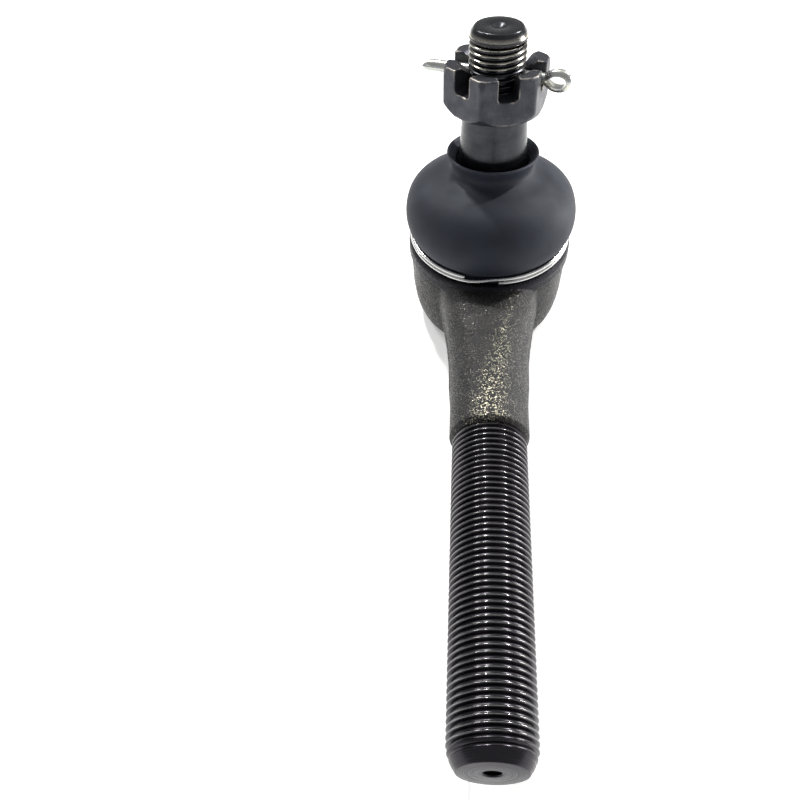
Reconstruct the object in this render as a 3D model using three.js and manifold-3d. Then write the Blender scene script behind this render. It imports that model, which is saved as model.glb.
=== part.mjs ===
// Outer tie rod end: a forged housing with a threaded shank, and a tapered ball stud in it.
// Millimetres, +Z up. The origin is the centre of the cover plate's outer face, +Z runs up the
// housing's axis and the shank points along -Y. The stud leans back, towards +Y.

import * as THREE from 'three';
import { mergeVertices } from 'three/addons/utils/BufferGeometryUtils.js';
import Module from 'manifold-3d';

const wasm = await Module();
wasm.setup();

// ---------------------------------------------------------------- driving dimensions

const GAP = 0.3; // between pieces that touch
const SIDES = 36; // facets round a turned piece

const BALL_Z = 18; // ball centre above the base
const BALL_R = 11.5;
const LEAN_DEG = 7.4; // of the stud at rest, towards +Y

const SHANK_Z = 17; // shank axis above the base
const SHANK_R = 9; // M18 x 1.5, major radius
const SHANK_END_Y = -141.3;
const SHANK_TIP_R = 7.25; // flat face inside the rounded end
const SHANK_ROUND = 5.2; // length of the rounded end
const THREAD_START_Y = -65;
const CENTRE_HOLE_R = 1.85;
const COLLAR_R = 9.65;
const NECK_FLAT = 0.7; // height to width of the neck where it leaves the cup
const NECK_ROUND_Y = -42; // from here on the neck is round

const BASE_R = 17.5; // flat ring that the cup stands on
const BODY_R = 21.2; // cup, where its round bottom ends
const BODY_Z = 12;
const BODY_TOP_R = 21.6; // cup, just under the rim band
const RIM_R = 22.2;
const RIM_LOW_Z = 22.2;
const RIM_TOP_Z = 26.9;
const SPIGOT_R = 17.3; // the boot's bead sits round it
const SPIGOT_TOP_Z = 31.5;
const BORE_R = 15.6;
const BORE_TOP_Z = 24.2;
const MOUTH_R = 13.4; // flared opening that the stud swings in
const THROAT_R = 10.4;
const LIP_R = 14.9; // rolled edge that holds the cover plate
const LIP_Z = 1.4;
const COVER_POCKET_TOP_Z = 4.2;

const COVER_R = 16.6;
const COVER_T = 2.2;
const COVER_DISC_R = 8.6;

// heights along the stud's own axis, from the ball centre
const NECK_R = 6.9;
const NECK_TOP = 21;
const TAPER_LOW = 23.8;
const TAPER_TOP = 44.4;
const TAPER_TOP_R = 8.2;
const TAPER_SLOPE = 0.05; // radius per length: 1 in 10 on diameter
const STUD_R = 7; // M14 x 1.5, major radius
const THREAD_LOW = 45.4;
const TIP = 65.4;
const TIP_R = 5.9;
const TIP_CHAMFER = 2.2;
const DIMPLE_R = 2;
const DIMPLE_DEPTH = 1;
const PIN_HEIGHT = 53.9;
const PIN_HOLE_R = 1.8;

const NUT_LOW = 45.5;
const NUT_TOP = 57;
const NUT_FLATS = 23.4;
const NUT_TOP_CHAMFER = 3.2; // steep, on the corners only
const NUT_LOW_CHAMFER = 2.5;
const SLOT_FLOOR = 51.5;
const SLOT_W = 5;
const SLOT_TURN_DEG = 13; // first slot, from -Y towards +X
const PIN_TURN_DEG = 73; // the pin's slot, with its eye on this side

const PIN_R = 1.5;
const PIN_TAIL = 19;
const PIN_EYE_X = 15.7; // eye's middle along the pin
const EYE_LONG = 3.3;
const EYE_TALL = 2.9;
const EYE_WIRE = 1.4;

const BOOT_BEAD_R = 20.4; // under the clamp ring
const BOOT_WALL = 1.8;
const BOOT_WIDE_R = 22.9;
const BOOT_WIDE = 17; // height of the widest point, from the ball centre
const BOOT_LIP = 33.4;
const BEND_LOW = 11.5; // the boot bends between these heights
const BEND_TOP = 27;

const CLAMP_R = 21.3; // centre of the clamp ring's wire
const CLAMP_WIRE_R = 0.6;
const CLAMP_Z = 28.1;
const CLAMP_PITCH = 1.25;
const CLAMP_START_DEG = 6; // lower end of the wire, from -Y towards +X
const CLAMP_SWEEP_DEG = 696;

const LIP_RING_R = 9.85;
const LIP_RING_WIRE_R = 0.4;
const LIP_RING_HEIGHT = 30.9;

const SPRING_WIRE_R = 0.75;

const BOSS_R = 6;
const BOSS_FACE_Y = 22.8;
const FITTING_HOLE_R = 3.3;
const FITTING_FLATS = 9;
const FITTING_TIP_Y = 33.4;

// ---------------------------------------------------------------- helpers

const rad = THREE.MathUtils.degToRad;
const taperRadius = (h) => TAPER_TOP_R + TAPER_SLOPE * (TAPER_TOP - h);

// One welded, closed mesh with its faces pointing out.
function welded(source) {
  const bare = source.clone();
  bare.deleteAttribute('normal');
  bare.deleteAttribute('uv');
  const merged = mergeVertices(bare, 1e-4);
  const index = merged.getIndex().array;
  const kept = [];
  for (let i = 0; i < index.length; i += 3) {
    const [a, b, c] = [index[i], index[i + 1], index[i + 2]];
    if (a !== b && b !== c && c !== a) kept.push(a, b, c);
  }
  if (volume(merged.getAttribute('position'), kept) < 0) kept.reverse();
  merged.setIndex(kept);
  return merged;
}

function volume(position, triangles) {
  const corner = [new THREE.Vector3(), new THREE.Vector3(), new THREE.Vector3()];
  let total = 0;
  for (let i = 0; i < triangles.length; i += 3) {
    corner.forEach((v, k) => v.fromBufferAttribute(position, triangles[i + k]));
    total += corner[0].dot(corner[1].cross(corner[2]));
  }
  return total / 6;
}

function solid(source) {
  const g = welded(source);
  return new wasm.Manifold(new wasm.Mesh({
    numProp: 3,
    vertProperties: new Float32Array(g.getAttribute('position').array),
    triVerts: new Uint32Array(g.getIndex().array),
  }));
}

function geometryOf(manifold) {
  const mesh = manifold.getMesh();
  const g = new THREE.BufferGeometry();
  g.setAttribute('position', new THREE.BufferAttribute(mesh.vertProperties.slice(), 3));
  g.setIndex(new THREE.BufferAttribute(mesh.triVerts.slice(), 1));
  g.computeVertexNormals();
  return g;
}

// Points [radius, height] turned about +Z. The outline starts and ends on the axis,
// or is given with closed = true and joins back to its first point.
function turned(points, { sides = SIDES, closed = false } = {}) {
  const outline = points.map(([r, h]) => new THREE.Vector2(r, h));
  if (closed) outline.push(outline[0].clone());
  return new THREE.LatheGeometry(outline, sides).rotateX(Math.PI / 2);
}

// Points on a circle in the [radius, height] plane; 0 degrees points outwards, 90 up.
function arc(r, h, radius, from, to, steps) {
  return Array.from({ length: steps + 1 }, (_, i) => {
    const a = rad(from + ((to - from) * i) / steps);
    return [r + radius * Math.cos(a), h + radius * Math.sin(a)];
  });
}

// A smooth outline through a few points.
function smooth(points, count) {
  const curve = new THREE.SplineCurve(points.map(([r, h]) => new THREE.Vector2(r, h)));
  return curve.getPoints(count).map((p) => [p.x, p.y]);
}

// Round bar of the given radius along +Z, from low to high.
function bar(radius, low, high, sides = 24) {
  const g = new THREE.CylinderGeometry(radius, radius, high - low, sides);
  return g.rotateX(Math.PI / 2).translate(0, 0, (low + high) / 2);
}

const alongMinusY = (g) => g.rotateX(Math.PI / 2); // +Z to -Y
const alongPlusY = (g) => g.rotateX(-Math.PI / 2); // +Z to +Y
const alongX = (g) => g.rotateY(Math.PI / 2); // +Z to +X
const turnToward = (deg) => rad(deg - 90); // turns +X to this bearing from -Y towards +X

// Wire of round section along a curve.
function wire(curve, radius, steps, sides = 8) {
  const section = new THREE.Shape();
  section.absarc(0, 0, radius, 0, 2 * Math.PI);
  return new THREE.ExtrudeGeometry(section, {
    steps, extrudePath: curve, curveSegments: sides / 2, bevelEnabled: false,
  });
}

class Coil extends THREE.Curve {
  constructor(radiusAt, heightAt, startDeg, sweepDeg) {
    super();
    Object.assign(this, { radiusAt, heightAt, startDeg, sweepDeg });
  }

  getPoint(t, target = new THREE.Vector3()) {
    const a = rad(this.startDeg - 90 + this.sweepDeg * t);
    const r = this.radiusAt(t);
    return target.set(r * Math.cos(a), r * Math.sin(a), this.heightAt(t));
  }
}

function material(color, roughness, metalness) {
  return new THREE.MeshStandardMaterial({ color, roughness, metalness });
}

function piece(name, geometry, finish) {
  const mesh = new THREE.Mesh(welded(geometry), finish);
  mesh.name = name;
  return mesh;
}

// ---------------------------------------------------------------- housing

// The neck is wider than it is tall next to the cup.
function flattenNeck(position) {
  for (let i = 0; i < position.count; i += 1) {
    const roundness = THREE.MathUtils.smoothstep(-position.getY(i), BODY_R, -NECK_ROUND_Y);
    position.setZ(i, position.getZ(i) * THREE.MathUtils.lerp(NECK_FLAT, 1, roundness));
  }
}

// Radius of the shank's rounded end, from t = 0 where it begins to 1 at the end face.
function roundedEndRadius(t) {
  return SHANK_R - (SHANK_R - SHANK_TIP_R) * t ** 2.2;
}

function housingGeometry() {
  const outside = turned([
    [0, 0], [BASE_R, 0],
    ...smooth([[BASE_R + 0.3, 0.3], [BASE_R + 1.9, 3], [BODY_R - 0.7, 6.8], [BODY_R, BODY_Z]], 8),
    [BODY_TOP_R, RIM_LOW_Z], [RIM_R, RIM_LOW_Z + 0.5], [RIM_R, RIM_TOP_Z - 1.2],
    ...arc(RIM_R - 1, RIM_TOP_Z - 1, 1, 15, 80, 3),
    [SPIGOT_R, RIM_TOP_Z], [SPIGOT_R, SPIGOT_TOP_Z - 0.4],
    [SPIGOT_R - 0.4, SPIGOT_TOP_Z], [0, SPIGOT_TOP_Z],
  ]);
  const shankLength = -SHANK_END_Y;
  const shank = turned([
    [0, 8], [12.9, 8],
    ...smooth([[14.6, 15], [12.85, 20], [11.2, 30], [9.95, 40], [9.75, 50]], 9),
    [COLLAR_R, 53], [COLLAR_R, -THREAD_START_Y - 1.4], [SHANK_R, -THREAD_START_Y],
    ...[0, 0.3, 0.5, 0.7, 0.85, 1].map((t) => [roundedEndRadius(t), shankLength - SHANK_ROUND * (1 - t)]),
    [CENTRE_HOLE_R, shankLength],
    [CENTRE_HOLE_R, shankLength - 4], [0, shankLength - 5],
  ], { sides: 32 });
  alongMinusY(shank);
  flattenNeck(shank.getAttribute('position'));
  shank.translate(0, 0, SHANK_Z);
  const boss = alongPlusY(turned([
    [0, 12], [BOSS_R + 1, 12], [BOSS_R + 0.4, 19], [BOSS_R, BOSS_FACE_Y - 0.6],
    [BOSS_R - 0.6, BOSS_FACE_Y], [0, BOSS_FACE_Y],
  ], { sides: 20 })).translate(0, 0, SHANK_Z);
  const cavity = turned([
    [0, -1], [LIP_R, -1], [LIP_R, LIP_Z], [COVER_R + GAP, LIP_Z],
    [COVER_R + GAP, COVER_POCKET_TOP_Z], [BORE_R, COVER_POCKET_TOP_Z],
    [BORE_R, BORE_TOP_Z], [THROAT_R, BORE_TOP_Z],
    [MOUTH_R, SPIGOT_TOP_Z], [MOUTH_R, SPIGOT_TOP_Z + 1], [0, SPIGOT_TOP_Z + 1],
  ]);
  const fittingHole = alongPlusY(bar(FITTING_HOLE_R, 10, BOSS_FACE_Y + 1)).translate(0, 0, SHANK_Z);
  const whole = solid(outside).add(solid(shank)).add(solid(boss));
  return geometryOf(whole.subtract(solid(cavity)).subtract(solid(fittingHole)));
}

// ---------------------------------------------------------------- inside the housing

const CUP_R = BALL_R + GAP; // bearing surface round the ball

function upperBearingGeometry() {
  return turned([
    [BORE_R - GAP, BALL_Z - 0.6], [BORE_R - GAP, BORE_TOP_Z - GAP],
    ...arc(0, BALL_Z, CUP_R, 30, -3, 4),
  ], { closed: true });
}

const LOWER_BEARING_Z = 7.2;

function lowerBearingGeometry() {
  return turned([
    [6, LOWER_BEARING_Z], [BORE_R - GAP, LOWER_BEARING_Z], [BORE_R - GAP, BALL_Z - 1.4],
    ...arc(0, BALL_Z, CUP_R, -6.8, -59, 6),
  ], { closed: true });
}

function preloadSpringGeometry() {
  const low = COVER_POCKET_TOP_Z - GAP + 0.3 + SPRING_WIRE_R;
  const high = LOWER_BEARING_Z - GAP - SPRING_WIRE_R;
  const coil = new Coil((t) => 12.9 - 3.6 * t, (t) => low + (high - low) * t, 40, 720);
  return wire(coil, SPRING_WIRE_R, 44, 6);
}

function coverPlateGeometry() {
  const flange = LIP_Z + GAP;
  return turned([
    [0, 0], [COVER_DISC_R, 0], [COVER_DISC_R + 0.8, 0.4], [COVER_DISC_R + 2.6, flange],
    [COVER_R, flange], [COVER_R, flange + COVER_T], [COVER_DISC_R + 2.2, flange + COVER_T],
    [COVER_DISC_R, COVER_T], [0, COVER_T],
  ]);
}

// ---------------------------------------------------------------- stud, nut and pin

function ballStudGeometry() {
  const neckAngle = THREE.MathUtils.radToDeg(Math.acos(NECK_R / BALL_R));
  const turnedStud = turned([
    [0, BALL_R * Math.sin(rad(-67))],
    ...arc(0, 0, BALL_R, -67, neckAngle, 11),
    [NECK_R, NECK_TOP],
    ...smooth([[NECK_R + 0.35, NECK_TOP + 1.1], [taperRadius(TAPER_LOW), TAPER_LOW]], 2),
    [TAPER_TOP_R, TAPER_TOP], [STUD_R - 0.5, TAPER_TOP + 0.5], [STUD_R, THREAD_LOW],
    [STUD_R, TIP - TIP_CHAMFER], [TIP_R, TIP], [DIMPLE_R, TIP],
    [DIMPLE_R * 0.5, TIP - DIMPLE_DEPTH * 0.8], [0, TIP - DIMPLE_DEPTH],
  ], { sides: 32 });
  const hole = alongX(bar(PIN_HOLE_R, -12, 12, 16)).rotateZ(turnToward(PIN_TURN_DEG));
  hole.translate(0, 0, PIN_HEIGHT);
  return geometryOf(solid(turnedStud).subtract(solid(hole)));
}

function hexagon(flats, low, high, flatTowardDeg) {
  const corner = flats / Math.sqrt(3);
  const g = new THREE.CylinderGeometry(corner, corner, high - low, 6, 1);
  g.rotateX(Math.PI / 2).translate(0, 0, (low + high) / 2);
  return g.rotateZ(turnToward(flatTowardDeg));
}

function castleNutGeometry() {
  const corner = NUT_FLATS / Math.sqrt(3);
  const height = NUT_TOP - NUT_LOW;
  const chamfer = turned([
    [0, NUT_LOW], [corner - 1.8, NUT_LOW], [corner + 0.1, NUT_LOW + NUT_LOW_CHAMFER],
    [corner + 0.1, NUT_TOP - NUT_TOP_CHAMFER], [corner - 0.5, NUT_TOP], [0, NUT_TOP],
  ], { sides: 42 });
  const bore = turned([
    [0, NUT_LOW - 1], [STUD_R + 3, NUT_LOW - 1], [STUD_R + GAP, NUT_LOW + 1.1],
    [STUD_R + GAP, NUT_TOP - 2], [STUD_R + 3, NUT_TOP], [STUD_R + 3, NUT_TOP + 1], [0, NUT_TOP + 1],
  ], { sides: 24 });
  let nut = solid(hexagon(NUT_FLATS, NUT_LOW, NUT_TOP, SLOT_TURN_DEG)).intersect(solid(chamfer));
  nut = nut.subtract(solid(bore));
  for (let i = 0; i < 3; i += 1) {
    const slot = new THREE.BoxGeometry(3 * corner, SLOT_W, height);
    slot.translate(0, 0, SLOT_FLOOR + height / 2);
    slot.rotateZ(turnToward(SLOT_TURN_DEG + 60 * i));
    nut = nut.subtract(solid(slot));
  }
  return geometryOf(nut);
}

function cotterPinGeometry() {
  const legs = alongX(bar(PIN_R, -PIN_TAIL, PIN_EYE_X - EYE_LONG + 0.5, 16));
  const eye = new THREE.Shape();
  eye.absellipse(0, 0, EYE_LONG, EYE_TALL, 0, 2 * Math.PI);
  const hole = new THREE.Path();
  hole.absellipse(0, 0, EYE_LONG - EYE_WIRE, EYE_TALL - EYE_WIRE, 0, 2 * Math.PI);
  eye.holes.push(hole);
  const loop = new THREE.ExtrudeGeometry(eye, {
    depth: 2 * EYE_WIRE * 0.8, curveSegments: 10, bevelEnabled: false,
  });
  loop.translate(0, 0, -EYE_WIRE * 0.8).rotateX(Math.PI / 2).translate(PIN_EYE_X, 0, 0);
  return geometryOf(solid(legs).add(solid(loop)));
}

// ---------------------------------------------------------------- boot and its rings

function dustBootGeometry() {
  const wide = BOOT_WIDE_R;
  const inner = wide - BOOT_WALL;
  const bead = SPIGOT_R + GAP;
  const low = RIM_TOP_Z + GAP - BALL_Z;
  const seal = taperRadius(29.3) + GAP;
  const g = turned([
    [bead, low], [BOOT_BEAD_R - 0.2, low], [BOOT_BEAD_R, low + 0.3], [BOOT_BEAD_R, 12],
    ...smooth([
      [21.3, 12.4], [22.5, 14.4], [wide, BOOT_WIDE], [22.6, 20], [21.2, 23], [18.6, 25.4],
      [15, 27], [12.2, 27.9], [10.8, 28.9], [10.8, 30.2], [11.5, 32.2], [12, 33],
    ], 16),
    [11.8, BOOT_LIP], [11.2, BOOT_LIP], [10.2, 32.2], [9.8, 31.75], [10.55, 31.7], [10.55, 30.1],
    [seal + 0.2, 30], [seal, 29.6], [seal, 28.4],
    ...smooth([
      [9.8, 27.2], [14.4, 25.3], [17.6, 23.9], [19.7, 21.8], [20.9, 19.2], [inner, BOOT_WIDE],
      [20.6, 14.8], [19.2, 13.2],
    ], 9),
    [bead, 12.2],
  ], { sides: 32, closed: true });
  const position = g.getAttribute('position');
  const point = new THREE.Vector3();
  const axis = new THREE.Vector3(1, 0, 0);
  for (let i = 0; i < position.count; i += 1) {
    point.fromBufferAttribute(position, i);
    const share = THREE.MathUtils.smoothstep(point.z, BEND_LOW, BEND_TOP);
    point.applyAxisAngle(axis, -rad(LEAN_DEG) * share);
    position.setXYZ(i, point.x, point.y, point.z);
  }
  return g.translate(0, 0, BALL_Z);
}

// Two turns of wire, the upper one lying on the lower: the wire climbs between its own ends.
function clampRingGeometry() {
  const oneTurn = 360 / CLAMP_SWEEP_DEG;
  const climbStart = oneTurn - (720 - CLAMP_SWEEP_DEG) / CLAMP_SWEEP_DEG;
  const heightAt = (t) => CLAMP_Z + CLAMP_PITCH * THREE.MathUtils.smoothstep(t, climbStart, oneTurn);
  const coil = new Coil(() => CLAMP_R, heightAt, CLAMP_START_DEG, CLAMP_SWEEP_DEG);
  return wire(coil, CLAMP_WIRE_R, 64, 6);
}

function lipRingGeometry() {
  const section = arc(LIP_RING_R, LIP_RING_HEIGHT, LIP_RING_WIRE_R, 0, 300, 5);
  return turned(section, { sides: 24, closed: true });
}

// ---------------------------------------------------------------- grease fitting

function greaseFittingGeometry() {
  const outside = turned([
    [0, 17.2], [2.4, 17.2], [3, 17.8], [3, BOSS_FACE_Y + GAP + 1.2], [3.2, 26.4], [3.2, 27.4],
    [2.35, 28.4], [2.35, 29.4], [3.25, 30.6], [3.25, 31.6], [2.3, 32.9],
    [1.9, FITTING_TIP_Y], [0, FITTING_TIP_Y],
  ], { sides: 24 });
  const hex = hexagon(FITTING_FLATS, BOSS_FACE_Y + GAP, 26.7, 0);
  const passage = turned([
    [0, 16], [0.8, 16], [0.8, 26.7], [1.75, 26.7], [1.75, 32], [1.05, 32.7], [1.05, 34], [0, 34],
  ], { sides: 20 });
  const body = solid(outside).add(solid(hex)).subtract(solid(passage));
  return alongPlusY(geometryOf(body)).translate(0, 0, SHANK_Z);
}

const FITTING_BALL_R = 1.4;
const FITTING_BALL_Y = 31.2;

function fittingBallGeometry() {
  const ball = new THREE.SphereGeometry(FITTING_BALL_R, 12, 8);
  return ball.translate(0, FITTING_BALL_Y, SHANK_Z);
}

function fittingSpringGeometry() {
  const low = 27.2;
  const high = FITTING_BALL_Y - FITTING_BALL_R - 0.5;
  const coil = new Coil(() => 1.05, (t) => low + (high - low) * t, 0, 1080);
  return alongPlusY(wire(coil, 0.2, 30, 4)).translate(0, 0, SHANK_Z);
}

// ---------------------------------------------------------------- finishes and assembly

const FORGING = () => material(0x3c3a37, 0.55, 0.85);
const BLACK_STEEL = () => material(0x45484c, 0.4, 0.9);
const RUBBER = () => material(0x2e2e33, 0.7, 0);
const BRIGHT_WIRE = () => material(0xd8d8d6, 0.25, 1);
const ZINC = () => material(0xb9b8b0, 0.35, 1);
const SINTERED = () => material(0x6f6a62, 0.7, 0.6);

// What follows the stud: it leans about the ball centre.
function studAssembly() {
  const leaning = new THREE.Group();
  leaning.position.set(0, 0, BALL_Z);
  leaning.rotation.x = -rad(LEAN_DEG);
  leaning.add(
    piece('ball_stud', ballStudGeometry(), BLACK_STEEL()),
    piece('castle_nut', castleNutGeometry(), BLACK_STEEL()),
    piece('boot_lip_ring', lipRingGeometry(), BLACK_STEEL()),
  );
  const pin = piece('cotter_pin', cotterPinGeometry(), ZINC());
  pin.position.z = PIN_HEIGHT;
  pin.rotation.z = turnToward(PIN_TURN_DEG);
  leaning.add(pin);
  return leaning;
}

const tieRodEnd = new THREE.Group();
tieRodEnd.add(
  piece('housing', housingGeometry(), FORGING()),
  piece('upper_bearing', upperBearingGeometry(), SINTERED()),
  piece('lower_bearing', lowerBearingGeometry(), SINTERED()),
  piece('preload_spring', preloadSpringGeometry(), BRIGHT_WIRE()),
  piece('cover_plate', coverPlateGeometry(), BLACK_STEEL()),
  piece('dust_boot', dustBootGeometry(), RUBBER()),
  piece('boot_clamp_ring', clampRingGeometry(), BRIGHT_WIRE()),
  piece('grease_fitting_body', greaseFittingGeometry(), ZINC()),
  piece('grease_fitting_ball', fittingBallGeometry(), BRIGHT_WIRE()),
  piece('grease_fitting_spring', fittingSpringGeometry(), BRIGHT_WIRE()),
  studAssembly(),
);

export default tieRodEnd;
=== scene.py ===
import math
import bpy
import numpy as np
from mathutils import Matrix, Vector


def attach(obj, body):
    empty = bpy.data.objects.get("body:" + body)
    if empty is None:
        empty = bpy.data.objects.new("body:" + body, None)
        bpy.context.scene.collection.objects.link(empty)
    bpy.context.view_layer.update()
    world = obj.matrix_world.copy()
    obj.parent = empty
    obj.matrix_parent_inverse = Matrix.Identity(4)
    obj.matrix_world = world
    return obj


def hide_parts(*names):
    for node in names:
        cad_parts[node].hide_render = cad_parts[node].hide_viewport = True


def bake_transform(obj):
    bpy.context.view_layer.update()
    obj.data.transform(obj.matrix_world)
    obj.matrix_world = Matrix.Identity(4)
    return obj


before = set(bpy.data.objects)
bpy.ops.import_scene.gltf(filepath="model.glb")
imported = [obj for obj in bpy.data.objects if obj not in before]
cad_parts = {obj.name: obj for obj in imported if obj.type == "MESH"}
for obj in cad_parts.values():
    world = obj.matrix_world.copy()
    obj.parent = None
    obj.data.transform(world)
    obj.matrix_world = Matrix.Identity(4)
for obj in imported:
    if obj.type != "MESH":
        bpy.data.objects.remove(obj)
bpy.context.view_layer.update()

# ---------------------------------------------------------------- sizes, in mm, in the CAD frame

BALL_Z = 18.0
BALL_R = 11.5
LEAN = math.radians(7.4)

SHANK_Z = 17.0
SHANK_R = 9.0
SHANK_ROOT_R = 8.1
SHANK_PITCH = 1.5
SHANK_END = 141.3  # distance from the housing's axis to the end face
SHANK_TIP_R = 7.05
SHANK_ROUND = 5.2  # length of the rounded end
THREAD_START = 64.7
CENTRE_HOLE_R = 1.85

RIM_R = 22.2
RIM_LOW = 22.3
RIM_TOP = 26.9
SPIGOT_R = 17.3
SPIGOT_TOP = 31.5

NECK_R = 6.9
TAPER_TOP = 44.4
TAPER_TOP_R = 8.2
STUD_R = 7.0
STUD_ROOT_R = 6.12
STUD_PITCH = 1.5
STUD_TIP = 65.4
PIN_HEIGHT = 53.9
PIN_HOLE_R = 1.75
PIN_R = 1.5

NUT_LOW = 45.5
NUT_TOP = 57.0
NUT_FLATS = 23.4
SLOT_FLOOR = 51.5
SLOT_HALF = 2.5
SLOT_TURN = math.radians(13)
PIN_TURN = math.radians(73)

BOOT_BEND_LOW = 11.5
BOOT_BEND_TOP = 27.0

CLAMP_R = 21.3
CLAMP_WIRE_R = 0.54
CLAMP_Z = 28.1
CLAMP_PITCH = 1.25
CLAMP_START = math.radians(6)
CLAMP_SWEEP = math.radians(696)
LIP_WIRE_R = 0.4
LIP_RING_R = 10.05
LIP_RING_HEIGHT = 30.9  # above the ball's centre, in the stud's frame

BOSS_FACE = 22.8
BOSS_R = 6.0
FITTING_HOLE_R = 3.05

SEAT_SPRING_WIRE_R = 0.75
NIPPLE_WIRE_R = 0.2

HOUSING_STEP = 0.45  # cell sizes of the meshes made from a distance field
NUT_STEP = 0.25
FITTING_STEP = 0.17

MM = 0.001

# ---------------------------------------------------------------- mesh helpers


def piece_from(name, vertices, faces, body, material, slot, nodes, smooth_angle=35):
    """A piece of the object: its mesh in millimetres, riding on a body and standing for CAD nodes."""
    mesh = bpy.data.meshes.new(name)
    mesh.from_pydata((np.asarray(vertices) * MM).tolist(), [], faces)
    mesh.validate()
    mesh.shade_smooth()
    mesh.set_sharp_from_angle(angle=math.radians(smooth_angle))
    mesh.materials.append(material)
    obj = bpy.data.objects.new(name, mesh)
    bpy.context.scene.collection.objects.link(obj)
    if body:
        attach(obj, body)
    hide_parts(*nodes)
    return obj


def along_minus_y(v):
    return np.stack([v[:, 0], -v[:, 2], v[:, 1]], 1)


def along_plus_y(v):
    return np.stack([v[:, 0], v[:, 2], -v[:, 1]], 1)


def moved(v, x=0.0, y=0.0, z=0.0):
    return v + np.array([x, y, z])


def turned_z(v, angle):
    c, s = math.cos(angle), math.sin(angle)
    return np.stack([c * v[:, 0] - s * v[:, 1], s * v[:, 0] + c * v[:, 1], v[:, 2]], 1)


def leaned(v, share=1.0):
    """From the stud's own frame, at the ball's centre, to the CAD frame."""
    c, s = np.cos(LEAN * share), np.sin(LEAN * share)
    return np.stack([v[:, 0], c * v[:, 1] + s * v[:, 2], c * v[:, 2] - s * v[:, 1] + BALL_Z], 1)


def bearing(angle):
    """Turns +X to this bearing, counted from -Y towards +X."""
    return angle - math.pi / 2


def arc(r, h, radius, start, end, steps):
    angles = np.radians(np.linspace(start, end, steps + 1))
    return [(r + radius * math.cos(a), h + radius * math.sin(a)) for a in angles]


def smooth_line(points, count):
    """Points on a Catmull-Rom curve through the given ones."""
    p = np.array([points[0], *points, points[-1]], float)
    out = []
    for t in np.linspace(0, len(points) - 1 - 1e-9, count):
        i = int(t)
        u = t - i
        a, b, c, d = p[i : i + 4]
        out.append(0.5 * (2 * b + (c - a) * u + (2 * a - 5 * b + 4 * c - d) * u**2
                          + (3 * b - 3 * c + d - a) * u**3))
    return [tuple(q) for q in out]


def lathe(rings, sides=96, closed=False, thread=None, thread_after=None):
    """Rings (radius, height) turned about +Z. A ring of radius 0 is a pole. A thread, if given,
    lies between ring number thread_after and the next one, which have its end radii."""
    vertices, faces, ids = [], [], []
    angles = 2 * math.pi * np.arange(sides) / sides
    for r, h in rings:
        if r == 0:
            ids.append([len(vertices)] * sides)
            vertices.append((0.0, 0.0, h))
        else:
            ids.append(list(range(len(vertices), len(vertices) + sides)))
            vertices += [(r * math.cos(a), r * math.sin(a), h) for a in angles]
    pairs = [(k, k + 1) for k in range(len(rings) - 1)]
    if closed:
        pairs.append((len(rings) - 1, 0))
    for a, b in pairs:
        if thread is not None and a == thread_after:
            add_thread(vertices, faces, ids[a], ids[b], rings[a][1], rings[b][1], sides, thread)
            continue
        for i in range(sides):
            j = (i + 1) % sides
            add_face(faces, (ids[a][i], ids[a][j], ids[b][j], ids[b][i]))
    return np.array(vertices), faces


def add_face(faces, corners):
    kept = [c for k, c in enumerate(corners) if c != corners[k - 1]]
    if len(set(kept)) == len(kept) and len(kept) > 2:
        faces.append(tuple(kept))


THREAD_CREST = 0.07  # half the crest's width and a flank's width, as shares of the pitch
THREAD_FLANK = 0.29
CREST_ROUNDING = 0.01
THREAD_PHASES = (0.0, 0.1, 0.15, 0.29, 0.42, 0.455, 0.5, 0.545, 0.58, 0.71, 0.85, 0.9)


def thread_depth(phase):
    """0 at the crest, 1 at the root, over one pitch; the crest is centred on phase 0.5."""
    return np.clip((np.abs(phase - 0.5) - THREAD_CREST) / THREAD_FLANK, 0, 1)


def crest_drop(phase):
    """How far a crest's slightly rounded top lies under its highest point."""
    off = abs(phase - 0.5)
    return CREST_ROUNDING * (off / THREAD_CREST) ** 2 if off < 0.08 else 0

def add_thread(vertices, faces, low_ring, high_ring, low, high, sides, thread):
    """A right-handed thread (pitch, crest radius, root radius, blank's radius at a height)."""
    pitch, crest, root, envelope = thread
    rows = len(THREAD_PHASES)
    start = math.floor(low / pitch) * pitch - pitch
    columns = (math.ceil((high - start) / pitch) + 1) * sides
    index = np.empty((columns + 1, rows), int)
    for i in range(columns + 1):
        angle = 2 * math.pi * (i % sides) / sides
        for j, phase in enumerate(THREAD_PHASES):
            z = start + pitch * (i / sides + phase)
            if z <= low + 1e-6:
                index[i, j] = low_ring[i % sides]
            elif z >= high - 1e-6:
                index[i, j] = high_ring[i % sides]
            else:
                depth = thread_depth(phase)
                r = min(crest - crest_drop(phase) - (crest - root) * depth, envelope(z))
                index[i, j] = len(vertices)
                vertices.append((r * math.cos(angle), r * math.sin(angle), z))
    for i in range(columns - sides):
        for j in range(rows):
            k, up = (i, j + 1) if j + 1 < rows else (i + sides, 0)
            add_face(faces, (index[i, j], index[i + 1, j], index[k + 1, up], index[k, up]))


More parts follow.
